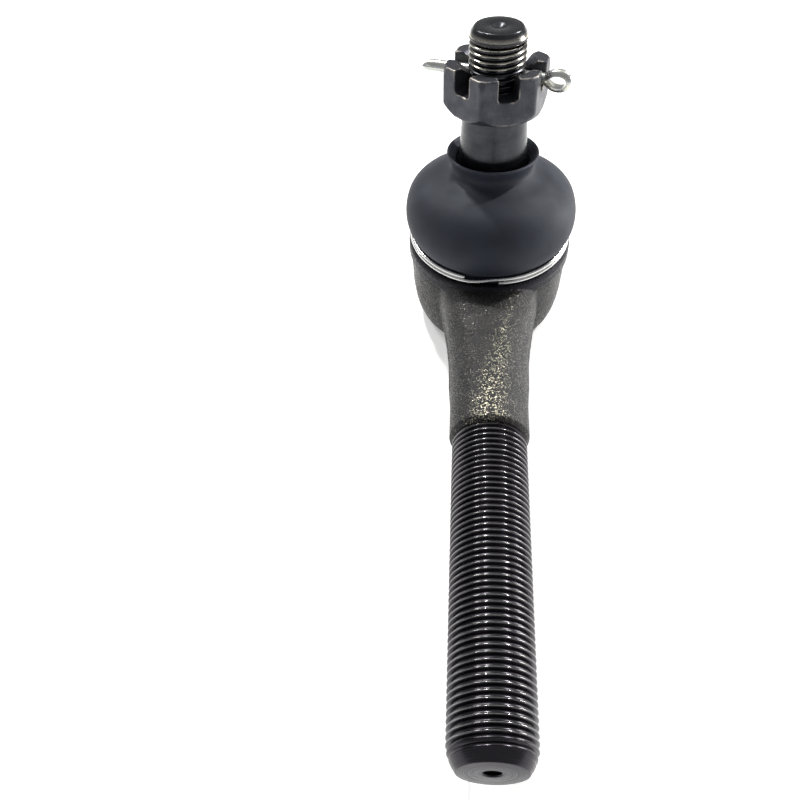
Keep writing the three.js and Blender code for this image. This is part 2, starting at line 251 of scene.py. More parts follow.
def tube(points, radius, sides=16, reference=(0, 0, 1)):
    """A round wire along points, with slightly chamfered ends."""
    points = np.asarray(points, float)
    tangent = np.gradient(points, axis=0)
    tangent /= np.linalg.norm(tangent, axis=1)[:, None]
    side = np.cross(tangent, np.array(reference, float))
    side /= np.linalg.norm(side, axis=1)[:, None]
    up = np.cross(side, tangent)
    scale = np.ones(len(points))
    scale[0] = scale[-1] = 0.8
    angles = 2 * math.pi * np.arange(sides) / sides
    rings = (points[:, None, :]
             + radius * scale[:, None, None] * (np.cos(angles)[None, :, None] * side[:, None, :]
                                                + np.sin(angles)[None, :, None] * up[:, None, :]))
    vertices = rings.reshape(-1, 3)
    faces = []
    for k in range(len(points) - 1):
        for i in range(sides):
            j = (i + 1) % sides
            faces.append((k * sides + i, (k + 1) * sides + i, (k + 1) * sides + j, k * sides + j))
    last = (len(points) - 1) * sides
    faces.append(tuple(range(sides)))
    faces.append(tuple(last + i for i in reversed(range(sides))))
    return vertices, faces


def surface_net(distance, low, high, step):
    """Closed mesh where distance(x, y, z) is 0, for a solid where it is negative."""
    axes = [np.arange(a, b + step, step) for a, b in zip(low, high)]
    value = distance(*np.meshgrid(*axes, indexing="ij"))
    inside = value < 0
    shape = np.array(value.shape)
    corners = [(i, j, k) for i in (0, 1) for j in (0, 1) for k in (0, 1)]
    total = sum(inside[i:shape[0] - 1 + i, j:shape[1] - 1 + j, k:shape[2] - 1 + k].astype(np.int8)
                for i, j, k in corners)
    cells = np.argwhere((total > 0) & (total < 8))
    number = np.full(shape - 1, -1)
    number[tuple(cells.T)] = np.arange(len(cells))
    sums, counts = np.zeros((len(cells), 3)), np.zeros(len(cells))
    for a in corners:
        for axis in range(3):
            if a[axis]:
                continue
            b = tuple(1 if n == axis else a[n] for n in range(3))
            va = value[tuple((cells + a).T)]
            vb = value[tuple((cells + b).T)]
            crosses = (va < 0) != (vb < 0)
            t = np.where(crosses, va / np.where(crosses, va - vb, 1), 0)
            at = cells + np.array(a) + t[:, None] * (np.array(b) - np.array(a))
            sums += at * crosses[:, None]
            counts += crosses
    vertices = np.array(low) + step * sums / counts[:, None]
    faces = []
    for axis in range(3):
        u, v = (axis + 1) % 3, (axis + 2) % 3
        first = [slice(None)] * 3
        first[axis] = slice(0, -1)
        second = [slice(None)] * 3
        second[axis] = slice(1, None)
        change = inside[tuple(first)] != inside[tuple(second)]
        at = np.argwhere(change)
        at = at[(at[:, u] > 0) & (at[:, v] > 0) & (at[:, u] < shape[u] - 1) & (at[:, v] < shape[v] - 1)]
        eu, ev = np.eye(3, dtype=int)[u], np.eye(3, dtype=int)[v]
        quad = np.stack([number[tuple(c.T)] for c in (at - eu - ev, at - ev, at, at - eu)], 1)
        outward = inside[tuple(at.T)]
        quad[~outward] = quad[~outward][:, ::-1]
        faces.append(quad)
    for _ in range(2):
        vertices = vertices - projection(distance, vertices, step * 0.1, step * 0.35)
    return vertices, [tuple(f) for f in np.concatenate(faces).tolist()]


def projection(distance, points, delta, most):
    """How far each point is from the surface, along the field's slope."""
    x, y, z = points.T
    here = distance(x, y, z)
    slope = np.stack([
        distance(x + delta, y, z) - distance(x - delta, y, z),
        distance(x, y + delta, z) - distance(x, y - delta, z),
        distance(x, y, z + delta) - distance(x, y, z - delta),
    ], 1) / (2 * delta)
    size = np.maximum((slope**2).sum(1), 0.05)
    step = here[:, None] * slope / size[:, None]
    length = np.maximum(np.linalg.norm(step, axis=1), 1e-9)
    return step * np.minimum(1, most / length)[:, None]


def outline_distance(r, z, outline):
    """Signed distance to a closed outline of (radius, height) points, negative inside."""
    best = np.full(np.shape(r), 1e9)
    inside = np.zeros(np.shape(r), bool)
    for (ax, az), (bx, bz) in zip(outline, outline[1:] + outline[:1]):
        dx, dz = bx - ax, bz - az
        t = np.clip(((r - ax) * dx + (z - az) * dz) / (dx * dx + dz * dz), 0, 1)
        best = np.minimum(best, (r - ax - t * dx) ** 2 + (z - az - t * dz) ** 2)
        crosses = (az > z) != (bz > z)
        inside ^= crosses & (r < ax + (z - az) * dx / (dz if dz else 1e-9))
    return np.where(inside, -1, 1) * np.sqrt(best)


def blended_min(a, b, width):
    h = np.maximum(width - np.abs(a - b), 0) / width
    return np.minimum(a, b) - h * h * width / 4


def blended_max(a, b, width):
    return -blended_min(-a, -b, width)


def cut(obj, tool_mesh, operation, material=None):
    """Joins or cuts obj by another closed mesh, and applies the result."""
    mesh = bpy.data.meshes.new("tool")
    mesh.from_pydata((np.asarray(tool_mesh[0]) * MM).tolist(), [], tool_mesh[1])
    mesh.shade_smooth()
    mesh.set_sharp_from_angle(angle=math.radians(40))
    mesh.materials.append(material or obj.data.materials[0])
    tool = bpy.data.objects.new("tool", mesh)
    bpy.context.scene.collection.objects.link(tool)
    modifier = obj.modifiers.new("cut", "BOOLEAN")
    modifier.operation = operation
    modifier.solver = "MANIFOLD"
    modifier.object = tool
    modifier.material_mode = "TRANSFER"
    bpy.context.view_layer.update()
    result = bpy.data.meshes.new_from_object(
        obj.evaluated_get(bpy.context.evaluated_depsgraph_get()))
    obj.modifiers.clear()
    old = obj.data
    obj.data = result
    bpy.data.meshes.remove(old)
    bpy.data.objects.remove(tool)
    bpy.data.meshes.remove(mesh)


# ---------------------------------------------------------------- materials

GLINT_STRIP_MIDDLE = 60.0  # the painted glint strip's start, from the housing's axis
GLINT_STRIP_BEND = 0.17  # how far it moves aside, and narrows, per length
GLINT_STRIP_TAPER = 0.12


class Finish:
    """A material with a Principled shader, fed by textures in the piece's own coordinates."""

    def __init__(self, name, metallic, ior=1.5):
        self.material = bpy.data.materials.new(name)
        self.material.use_nodes = True
        self.tree = self.material.node_tree
        self.shader = self.tree.nodes["Principled BSDF"]
        self.shader.inputs["Metallic"].default_value = metallic
        self.shader.inputs["IOR"].default_value = ior
        self.place = self.tree.nodes.new("ShaderNodeTexCoord").outputs["Object"]
        self.height = None

    def node(self, kind, **settings):
        node = self.tree.nodes.new(kind)
        for key, value in settings.items():
            setattr(node, key, value)
        return node

    def link(self, source, target):
        self.tree.links.new(source, target)

    def split(self, vector, axis):
        node = self.node("ShaderNodeSeparateXYZ")
        self.link(vector, node.inputs[0])
        return node.outputs[axis]

    def round_axis(self, tilt, shift):
        """Radius and height about a turned part's axis, which a tilt about X brings upright."""
        mapping = self.node("ShaderNodeMapping")
        mapping.inputs["Rotation"].default_value = (tilt, 0, 0)
        mapping.inputs["Location"].default_value = tuple(c * MM for c in shift)
        self.link(self.place, mapping.inputs["Vector"])
        turned = mapping.outputs["Vector"]
        flat = self.node("ShaderNodeCombineXYZ")
        self.link(self.split(turned, "X"), flat.inputs["X"])
        self.link(self.split(turned, "Y"), flat.inputs["Y"])
        length = self.node("ShaderNodeVectorMath", operation="LENGTH")
        self.link(flat.outputs[0], length.inputs[0])
        return length.outputs["Value"], self.split(turned, "Z")

    def marks(self, radius, height, size_mm):
        """Tool marks: noise that is the same all the way round."""
        point = self.node("ShaderNodeCombineXYZ")
        self.link(radius, point.inputs["X"])
        self.link(height, point.inputs["Z"])
        return self.noise(size_mm, 2, 0.6, point.outputs[0])

    def noise(self, size_mm, detail=3.0, roughness=0.5, vector=None):
        node = self.node("ShaderNodeTexNoise")
        node.inputs["Scale"].default_value = 1 / (size_mm * MM)
        node.inputs["Detail"].default_value = detail
        node.inputs["Roughness"].default_value = roughness
        self.link(vector or self.place, node.inputs["Vector"])
        return node.outputs["Fac"]

    def edges(self, low, high):
        """Outer edges, where the finish wears off first; with high below low, the inner creases, which the
        forged finish darkens as painted shade.
        """
        return self.ramp(self.node("ShaderNodeNewGeometry").outputs["Pointiness"], low, high)

    def ramp(self, source, low, high, low_value=0.0, high_value=1.0):
        node = self.node("ShaderNodeMapRange")
        for name, value in zip(("From Min", "From Max", "To Min", "To Max"),
                               (low, high, low_value, high_value)):
            node.inputs[name].default_value = value
        self.link(source, node.inputs["Value"])
        return node.outputs["Result"]

    def combined(self, operation, *values):
        node = self.node("ShaderNodeMath", operation=operation)
        for value, socket in zip(values, node.inputs):
            if isinstance(value, (int, float)):
                socket.default_value = value
            else:
                self.link(value, socket)
        return node.outputs[0]

    def times(self, a, b):
        return self.combined("MULTIPLY", a, b)

    def mixed(self, factor, dark, light):
        """Colour between two; either can be a colour or another socket."""
        node = self.node("ShaderNodeMix", data_type="RGBA")
        self.link(factor, node.inputs["Factor"])
        for value, socket in ((dark, node.inputs[6]), (light, node.inputs[7])):
            if isinstance(value, tuple):
                socket.default_value = (*value, 1)
            else:
                self.link(value, socket)
        return node.outputs[2]

    def colour(self, socket):
        self.link(socket, self.shader.inputs["Base Color"])

    def roughness(self, socket):
        self.link(socket, self.shader.inputs["Roughness"])

    def bump(self, source, depth_mm, strength=1.0):
        node = self.node("ShaderNodeBump")
        node.inputs["Distance"].default_value = depth_mm * MM
        node.inputs["Strength"].default_value = strength
        self.link(source, node.inputs["Height"])
        if self.height is not None:
            self.link(self.height, node.inputs["Normal"])
        self.height = node.outputs["Normal"]
        self.link(self.height, self.shader.inputs["Normal"])


def painted_glint_strip(f):
    """Painted glints: light golden colour on the grains of the neck's top, where the lamps' highlight
    falls, in a strip from the collar that bends to one side and narrows towards the cup."""
    x, y, z = (f.split(f.place, axis) for axis in "XYZ")
    along = f.combined("ADD", y, GLINT_STRIP_MIDDLE * MM)
    aside = f.combined("SUBTRACT", x, f.combined("MULTIPLY_ADD", along, GLINT_STRIP_BEND, -0.4 * MM))
    off = f.combined("MULTIPLY_ADD", along, GLINT_STRIP_TAPER, f.combined("ABSOLUTE", aside))
    blurred = f.combined("MULTIPLY_ADD", f.noise(2.2, 3), 8 * MM, off)
    return f.times(f.ramp(blurred, 9.2 * MM, 4.6 * MM), f.ramp(z, 21 * MM, 24 * MM))


def forged_finish():
    f = Finish("forged_black", 0.9)
    patches = f.noise(5, 4)
    grain = f.noise(0.42, 3, 0.6)
    scale = f.noise(1.1, 3, 0.7)
    base = f.mixed(f.ramp(patches, 0.35, 0.7), (0.027, 0.027, 0.029), (0.044, 0.043, 0.044))
    specks = f.ramp(grain, 0.54, 0.66)
    speckled = f.mixed(specks, base, (0.085, 0.082, 0.07))
    # painted glints: light golden specks on the grain, in the strip where the lamps' highlight falls on
    # the neck
    glints = f.times(painted_glint_strip(f), f.ramp(f.noise(0.42, 2), 0.53, 0.61))
    glinted = f.mixed(glints, speckled, (0.5, 0.48, 0.36))
    # painted shade: near-black colour in the inner creases, such as under the rim band and where the neck
    # meets the cup
    crease_shaded = f.mixed(f.edges(0.475, 0.41), glinted, (0.006, 0.006, 0.006))
    from_axis, height = f.round_axis(0, (0, 0, 0))
    band = f.times(f.ramp(height, (RIM_LOW - 0.1) * MM, (RIM_LOW + 0.2) * MM),
                   f.ramp(from_axis, (RIM_R + 0.3) * MM, (RIM_R + 0.1) * MM))
    f.colour(f.mixed(band, crease_shaded, (0.02, 0.02, 0.025)))
    f.roughness(f.ramp(grain, 0.45, 0.64, 0.55, 0.17))
    f.bump(f.noise(2.6, 3), 0.12, 0.6)
    f.bump(scale, 0.08, 0.5)
    f.bump(grain, 0.22)
    return f.material


def turned_finish(name, tint, across, shift, crest, worn_depth, worn_colour, worn_from, face):
    """Black oxide on a turned part: fine rings round its axis, its thread's crests worn lighter
    from height worn_from on, and its end from height face on."""
    f = Finish(name, 0.95)
    radius, height = f.round_axis(across, shift)
    grain = f.noise(0.3, 3, 0.6)
    marks = f.marks(radius, height, 0.22)
    base = f.mixed(f.ramp(f.noise(4, 4), 0.35, 0.7), tint, tuple(1.5 * c for c in tint))
    ended = f.mixed(f.ramp(height, (face - 0.1) * MM, face * MM), base, tuple(1.25 * c for c in tint))
    on_crest = f.times(f.ramp(radius, (crest - worn_depth) * MM, (crest - 0.04) * MM),
                       f.ramp(radius, (crest + 0.1) * MM, (crest + 0.04) * MM))
    on_crest = f.times(on_crest, f.ramp(height, (worn_from - 0.4) * MM, (worn_from + 0.4) * MM))
    worn = f.times(on_crest, f.ramp(grain, 0.3, 0.55, 0.4, 1))
    f.colour(f.mixed(worn, ended, worn_colour))
    f.roughness(f.times(f.ramp(marks, 0.35, 0.65, 0.36, 0.2), f.ramp(on_crest, 0, 1, 1, 0.5)))
    f.bump(marks, 0.012, 0.6)
    f.bump(grain, 0.02, 0.5)
    return f.material


def nut_finish():
    f = Finish("nut_black", 0.7)
    patches = f.noise(3, 4)
    grain = f.noise(0.35, 3, 0.6)
    base = f.mixed(f.ramp(patches, 0.35, 0.7), (0.036, 0.039, 0.05), (0.056, 0.058, 0.068))
    speckled = f.mixed(f.ramp(grain, 0.6, 0.78), base, (0.13, 0.11, 0.095))
    worn = f.times(f.edges(0.515, 0.565), f.ramp(patches, 0.42, 0.56))
    f.colour(f.mixed(worn, speckled, (0.42, 0.39, 0.35)))
    f.roughness(f.ramp(patches, 0.3, 0.7, 0.48, 0.36))
    f.bump(f.noise(1.6, 2), 0.03)
    f.bump(grain, 0.03, 0.7)
    return f.material


def rubber_finish():
    f = Finish("boot_rubber", 0.0, 1.45)
    patches = f.noise(9, 3)
    dust = f.noise(0.35, 4, 0.7)
    base = f.mixed(f.ramp(patches, 0.3, 0.7), (0.009, 0.01, 0.017), (0.014, 0.016, 0.027))
    f.colour(f.mixed(f.ramp(dust, 0.66, 0.8, 0, 0.5), base, (0.06, 0.065, 0.07)))
    f.roughness(f.ramp(patches, 0.3, 0.7, 0.68, 0.58))
    f.shader.inputs["Specular Tint"].default_value = (0.85, 0.92, 1.0, 1)
    f.bump(f.noise(0.25, 3), 0.012, 0.6)
    f.bump(f.noise(3, 2), 0.04, 0.5)
    return f.material


def wire_finish():
    f = Finish("bright_wire", 1.0)
    lines = f.noise(0.25, 2)
    f.colour(f.mixed(f.ramp(lines, 0.3, 0.7), (0.5, 0.5, 0.5), (0.68, 0.68, 0.67)))
    f.roughness(f.ramp(lines, 0.3, 0.7, 0.16, 0.28))
    f.bump(lines, 0.01, 0.4)
    return f.material


def zinc_finish():
    f = Finish("zinc_plate", 1.0)
    patches = f.noise(2.5, 4)
    grain = f.noise(0.3, 3)
    base = f.mixed(f.ramp(patches, 0.3, 0.7), (0.5, 0.53, 0.55), (0.62, 0.6, 0.5))
    f.colour(f.mixed(f.ramp(grain, 0.6, 0.8), base, (0.36, 0.37, 0.36)))
    f.roughness(f.ramp(grain, 0.3, 0.7, 0.22, 0.36))
    f.bump(grain, 0.015, 0.5)
    return f.material


def sintered_finish():
    f = Finish("sintered_bearing", 0.7)
    grain = f.noise(0.3, 4, 0.7)
    f.colour(f.mixed(f.ramp(grain, 0.35, 0.65), (0.09, 0.085, 0.078), (0.2, 0.19, 0.17)))
    f.roughness(f.ramp(grain, 0.3, 0.7, 0.7, 0.45))
    f.bump(grain, 0.03, 0.7)
    return f.material


def pressed_finish():
    f = Finish("pressed_black", 0.85)
    patches = f.noise(5, 4)
    grain = f.noise(0.4, 3, 0.6)
    base = f.mixed(f.ramp(patches, 0.35, 0.7), (0.045, 0.045, 0.048), (0.075, 0.074, 0.073))
    f.colour(f.mixed(f.ramp(grain, 0.62, 0.75), base, (0.14, 0.135, 0.125)))
    f.roughness(f.ramp(grain, 0.3, 0.7, 0.5, 0.34))
    f.bump(f.noise(2, 3), 0.03)
    f.bump(grain, 0.02, 0.6)
    return f.material


FORGED = forged_finish()
SHANK_FINISH = turned_finish("shank_black", (0.03, 0.028, 0.033), math.radians(-90), (0, -SHANK_Z, 0),
                             SHANK_R, 0.17, (0.2, 0.2, 0.2), THREAD_START, SHANK_END - 2.4)
STUD_FINISH = turned_finish("stud_black", (0.033, 0.034, 0.038), LEAN,
                            (0, BALL_Z * math.sin(LEAN), -BALL_Z * math.cos(LEAN)),
                            STUD_R, 0.5, (0.46, 0.44, 0.39), NUT_TOP, STUD_TIP - 0.05)
NUT = nut_finish()
RUBBER = rubber_finish()
WIRE = wire_finish()
ZINC = zinc_finish()
SINTERED = sintered_finish()
PRESSED = pressed_finish()

# ---------------------------------------------------------------- housing

CUP_OUTLINE = [
    (-1, 0), (17.3, 0), *smooth_line([(17.7, 0.25), (19.4, 3), (20.5, 6.8), (21.2, 12)], 9),
    (21.5, 19), (21.5, 21.4), (21.2, 21.95), (21.3, 22.25), (22.0, 22.5), (22.2, 22.9), (22.2, 25.8),
    (21.9, 26.5), (21.2, 26.9), (SPIGOT_R, RIM_TOP),
    (SPIGOT_R, SPIGOT_TOP - 0.5), (SPIGOT_R - 0.5, SPIGOT_TOP), (-1, SPIGOT_TOP),
]
CAVITY_OUTLINE = [
    (-1, -2), (15.4, -2), (15.4, 0), (14.9, 0.5), (14.9, 1.35), (16.85, 1.4), (16.85, 4.2),
    (15.6, 4.2), (15.6, 24.2), (10.4, 24.2), (13.2, 31.0), (14.2, 32.0), (14.2, 34), (-1, 34),
]
NECK_STATIONS = np.array([  # distance from the axis, half width, half height, squareness
    (10, 13.6, 9.3, 3.6), (20, 12.75, 9.2, 3.4), (25, 11.9, 9.25, 3.1), (30, 11.2, 9.4, 2.8),
    (35, 10.5, 9.5, 2.5), (40, 10.0, 9.6, 2.25), (46, 9.8, 9.7, 2.1), (54, 9.7, 9.7, 2.0),
    (70, 9.65, 9.65, 2.0),
])


def neck_distance(x, y, z):
    at = -y
    a, b, n = (np.interp(at, NECK_STATIONS[:, 0], NECK_STATIONS[:, k]) for k in (1, 2, 3))
    u, v = np.abs(x) / a + 1e-6, np.abs(z - SHANK_Z) / b + 1e-6
    g = (u**n + v**n) ** (1 / n)
    slope = g ** (1 - n) * np.sqrt((u ** (n - 1) / a) ** 2 + (v ** (n - 1) / b) ** 2)
    side = (g - 1) / np.maximum(slope, 0.02)
    flash = 0.38 * np.exp(-(((z - SHANK_Z) / 0.7) ** 2)) * np.clip((54 - at) / 6, 0, 1)
    face = at - THREAD_START
    chamfer = (face + (g - 1) * b + 1.0) * 0.7071
    return np.maximum(blended_max(np.maximum(side - flash, chamfer), face, 0.3), y)


def housing_distance(x, y, z):
    r = np.hypot(x, y)
    cup = outline_distance(r, z, CUP_OUTLINE)
    boss_r = np.hypot(x, z - SHANK_Z)
    boss = blended_max(boss_r - BOSS_R - 0.05 * (BOSS_FACE - y), y - BOSS_FACE, 0.7)
    boss = np.maximum(boss, 8 - y)
    body = blended_min(cup, neck_distance(x, y, z), 0.6)
    body = blended_min(body, boss, 2.2)
    cavity = outline_distance(r, z, CAVITY_OUTLINE)
    hole = np.maximum(boss_r - FITTING_HOLE_R, 12 - y)
    return blended_max(blended_max(body, -cavity, 0.4), -hole, 0.4)


def shank_envelope(h):
    """Radius that the turned blank has along the shank, before threading."""
    start = SHANK_ROOT_R + max(0.0, h - THREAD_START) * 0.9
    along = max(0.0, 1 - (SHANK_END - h) / SHANK_ROUND)
    end = SHANK_R - (SHANK_R - SHANK_TIP_R) * along**2
    return min(start, end)


def make_housing():
    body = surface_net(housing_distance, (-23.6, -66.2, -1), (23.6, 24.2, 33), HOUSING_STEP)
    housing = piece_from("forged_housing", *body, "housing", FORGED, "forged_steel", ["housing"], 40)
    threaded = (SHANK_PITCH, SHANK_R, SHANK_ROOT_R, shank_envelope)
    end = SHANK_END
    tip = [(shank_envelope(h), h) for h in (end - 0.9, end - 0.5, end - 0.2, end - 0.05)]
    rings = [(0, 58), (7.4, 58), (SHANK_ROOT_R, 59), (SHANK_ROOT_R, THREAD_START - 0.3)]
    last_thread = end - 0.95
    rings += [(shank_envelope(last_thread), last_thread), *tip, (SHANK_TIP_R - 0.14, end)]
    rings += [(CENTRE_HOLE_R + 0.25, end), (CENTRE_HOLE_R, end - 0.25), (CENTRE_HOLE_R, end - 4)]
    rings += [(0, end - 5)]
    v, f = lathe(rings, 96, thread=threaded, thread_after=3)
    shank = moved(along_minus_y(v), z=SHANK_Z)
    cut(housing, (shank, f), "UNION", SHANK_FINISH)
    return housing


make_housing()

# ---------------------------------------------------------------- ball stud


def taper_radius(h):
    return TAPER_TOP_R + 0.05 * (TAPER_TOP - h)


def stud_envelope(h):
    start = STUD_ROOT_R + (h - 45.0) * 1.2
    return min(start, STUD_R)


def make_stud():
    neck_angle = math.degrees(math.acos(NECK_R / BALL_R))
    rings = [(0, -10.6), (4.2, -10.6), *arc(0, 0, BALL_R, -66, neck_angle - 3, 40)]
    rings += [(NECK_R, BALL_R * math.sin(math.radians(neck_angle)) + 0.4), (NECK_R, 15), (NECK_R, 20.4)]
    rings += smooth_line([(NECK_R + 0.05, 21), (NECK_R + 0.6, 22.2), (taper_radius(24) - 0.5, 23.6),
                          (taper_radius(24.4), 24.4)], 8)
    rings += [(taper_radius(h), h) for h in (27, 31, 35, 39, 42, 44.1)]
    rings += [(TAPER_TOP_R - 0.3, TAPER_TOP + 0.05), (STUD_ROOT_R, 44.9), (STUD_ROOT_R, 45.0)]
    after = len(rings) - 1
    rings += [(STUD_ROOT_R + 0.1, 62.1), (6.9, 62.6), (7.12, 62.9), (7.14, 63.3), (6.95, 63.8)]
    rings += [(6.5, 64.5), (6.05, 65.15), (5.85, 65.34), (5.6, STUD_TIP), (2.3, STUD_TIP - 0.02)]
    rings += [(1.9, STUD_TIP - 0.15), (1.3, STUD_TIP - 0.55), (0.6, STUD_TIP - 0.85)]
    rings += [(0, STUD_TIP - 0.95)]
    threaded = (STUD_PITCH, STUD_R, STUD_ROOT_R, stud_envelope)
    v, f = lathe(rings, 96, thread=threaded, thread_after=after)
    stud = piece_from("turned_ball_stud", leaned(v), f, "stud", STUD_FINISH, "black_steel",
                      ["ball_stud"])
    hole, hole_faces = lathe([(0, -12), (PIN_HOLE_R, -12), (PIN_HOLE_R, 12), (0, 12)], 32)
    hole = np.stack([hole[:, 2], hole[:, 1], -hole[:, 0]], 1)
    hole = leaned(moved(turned_z(hole, bearing(PIN_TURN)), z=PIN_HEIGHT))
    cut(stud, (hole, hole_faces), "DIFFERENCE")
    return stud


make_stud()

# ---------------------------------------------------------------- slotted nut


def nut_distance(x, y, z):
    r = np.hypot(x, y)
    angle = np.arctan2(y, x) - bearing(SLOT_TURN)
    sixth = math.pi / 3
    local = np.mod(angle + sixth / 2, sixth) - sixth / 2
    beside = r * np.cos(sixth - np.abs(local)) - NUT_FLATS / 2
    flat = blended_max(r * np.cos(local) - NUT_FLATS / 2, beside, 0.7)
    across = np.abs(r * np.sin(local))
    top = z - NUT_TOP
    bottom = NUT_LOW - z
    top_cone = ((r - 12.95) * 3.2 + (z - NUT_TOP) * 0.5) / 3.24
    low_cone = ((r - 11.7) * 2.5 + (NUT_LOW - z) * 1.9) / 3.14
    body = blended_max(blended_max(flat, top_cone, 0.1), low_cone, 0.25)
    body = blended_max(blended_max(body, top, 0.45), bottom, 0.35)
    slot = blended_max(across - SLOT_HALF, SLOT_FLOOR - z, 1.3)
    slot = np.where(r > 4.5, slot, np.maximum(slot, 4.5 - r))
    phase = np.mod(z / STUD_PITCH - np.arctan2(y, x) / (2 * math.pi), 1.0)
    wall = STUD_R + 0.08 - (STUD_R - STUD_ROOT_R - 0.1) * thread_depth(phase)
    flare = np.maximum(STUD_R - 0.4 + np.maximum(0, 1.2 - (z - NUT_LOW)) * 1.3,
                       STUD_R - 0.4 + np.maximum(0, 2.3 - (NUT_TOP - z)) * 1.4)
    bore = (np.maximum(wall, flare) - r) * 0.7
    return blended_max(blended_max(body, -slot, 0.3), bore, 0.15)


def make_nut():
    v, f = surface_net(nut_distance, (-15, -15, NUT_LOW - 1), (15, 15, NUT_TOP + 1), NUT_STEP)
    return piece_from("slotted_nut", leaned(v), f, "stud", NUT, "black_steel", ["castle_nut"], 40)


make_nut()

# ---------------------------------------------------------------- cotter pin


def make_pin():
    """Half-round wire: one leg, round the eye, and back as the other leg."""
    gap = 0.04
    lower = [(-19.0, -gap), (-8, -gap), (4, -gap), (11.3, -gap), (12.4, -0.12), (13.4, -0.75)]
    eye = [(14.4, -1.32), (15.7, -1.42), (16.8, -1.0), (17.35, 0.0)]
    right = [*lower, *eye]
    path = smooth_line([*right, *[(x, -z) for x, z in reversed(right[:-1])]], 150)
    path = [(max(x, -17.8) if z > 0 else x, z) for x, z in path]
    kept = [path[0]]
    for p in path[1:]:
        if math.dist(p, kept[-1]) > 0.02:
            kept.append(p)
    path = np.array(kept)
    tangent = np.gradient(path, axis=0)
    tangent /= np.linalg.norm(tangent, axis=1)[:, None]
    outward = np.stack([tangent[:, 1], -tangent[:, 0]], 1)
    angles = np.radians(np.linspace(-90, 90, 13))
    radius = PIN_R - 0.06
    section = [(max(radius * math.cos(a), 0.0), radius * math.sin(a)) for a in angles]
    count = len(section)
    vertices, faces = [], []
    for k, (p, n) in enumerate(zip(path, outward)):
        size = 0.7 if k in (0, len(path) - 1) else 1.0
        for out, side in section:
            at = p + n * out * size
            vertices.append((at[0], side * size, at[1]))
    for k in range(len(path) - 1):
        for i in range(count):
            j = (i + 1) % count
            faces.append((k * count + i, (k + 1) * count + i, (k + 1) * count + j, k * count + j))
    last = (len(path) - 1) * count
    faces.append(tuple(range(count)))
    faces.append(tuple(last + i for i in reversed(range(count))))
    v = leaned(moved(turned_z(np.array(vertices), bearing(PIN_TURN)), z=PIN_HEIGHT))
    return piece_from("split_pin", v, faces, "cotter_pin", ZINC, "zinc_plate", ["cotter_pin"], 50)


make_pin()

# ---------------------------------------------------------------- boot

BOOT_OUTSIDE = [
    (20.4, 11.9), (21.2, 12.35), (22.3, 14.2), (22.85, 16.6), (22.65, 19.4), (21.6, 22.2),
    (19.4, 24.6), (16.2, 26.4), (13.2, 27.5), (11.3, 28.5), (10.75, 29.6), (10.9, 30.8),
    (11.45, 32.0), (11.95, 32.9),
]
BOOT_INSIDE = [
    (9.35, 29.6), (9.2, 28.8), (9.8, 27.3), (12.6, 26.0), (15.6, 24.6), (18.4, 22.8), (20.0, 20.4),
    (20.9, 17.4), (20.5, 14.9), (19.2, 13.2), (17.9, 12.4),
]


def smoothstep(t, low, high):
    u = np.clip((t - low) / (high - low), 0, 1)
    return u * u * (3 - 2 * u)


def make_boot():
    low = RIM_TOP + 0.15 - BALL_Z
    rings = [(17.45, low + 0.3), (17.8, low), (20.1, low), (20.4, low + 0.3)]
    rings += [(20.35, low + 0.6), (20.25, 10.2), (20.25, 11.3)]
    rings += smooth_line(BOOT_OUTSIDE, 64)
    rings += arc(11.65, 33.1, 0.32, -20, 150, 8)
    rings += smooth_line([(11.2, 33.2), (10.6, 32.5), (10.1, 32.0), (9.85, 31.7)], 7)
    rings += [(10.2, 31.6), (10.5, 31.4), (10.55, 30.9), (10.5, 30.4), (10.2, 30.2), (9.6, 30.1)]
    rings += smooth_line(BOOT_INSIDE, 44)
    rings += [(17.45, 12.0)]
    v, f = lathe(rings, 144, closed=True)
    share = smoothstep(v[:, 2], BOOT_BEND_LOW, BOOT_BEND_TOP)
    boot = piece_from("rubber_boot", leaned(v, share), f, None, RUBBER, "boot_rubber",
                      ["dust_boot"], 60)
    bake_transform(boot)
    return boot


make_boot()


def coil_points(radius_at, height_at, start, sweep, count):
    t = np.linspace(0, 1, count)
    angle = start - math.pi / 2 + sweep * t
    r, h = radius_at(t), height_at(t)
    return np.stack([r * np.cos(angle), r * np.sin(angle), h], 1)


def make_clamp_ring():
    turn = 2 * math.pi / CLAMP_SWEEP
    climb = turn - (4 * math.pi - CLAMP_SWEEP) / CLAMP_SWEEP
    points = coil_points(lambda t: np.full_like(t, CLAMP_R),
                         lambda t: CLAMP_Z + CLAMP_PITCH * smoothstep(t, climb, turn),
                         CLAMP_START, CLAMP_SWEEP, 380)
    v, f = tube(points, CLAMP_WIRE_R, 16)
    return piece_from("clamp_wire_ring", v, f, "housing", WIRE, "bright_wire", ["boot_clamp_ring"])


def make_lip_ring():
    points = coil_points(lambda t: np.full_like(t, LIP_RING_R), lambda t: np.full_like(t, LIP_RING_HEIGHT),
                         math.radians(150), math.radians(357), 120)
    v, f = tube(points, LIP_WIRE_R, 12)
    return piece_from("boot_lip_wire", leaned(v), f, "boot_lip", PRESSED, "black_steel",
                      ["boot_lip_ring"])


make_clamp_ring()
make_lip_ring()

# ---------------------------------------------------------------- inside the housing


def make_cover():
    rings = [(0, 0.05), (2.2, 0.05), (2.6, 0), (8.4, 0), (8.9, 0.1), (9.6, 0.55), (10.9, 1.5)]
    rings += [(11.6, 1.72)]
    rings += [(16.4, 1.75), (16.6, 1.95), (16.6, 3.7), (16.4, 3.9), (11.0, 3.9), (10.4, 3.7)]
    rings += [(9.1, 2.7), (8.3, 2.25), (7.6, 2.2), (0, 2.2)]
    v, f = lathe(rings, 96)
    return piece_from("pressed_cover", v, f, "housing", PRESSED, "black_steel", ["cover_plate"])


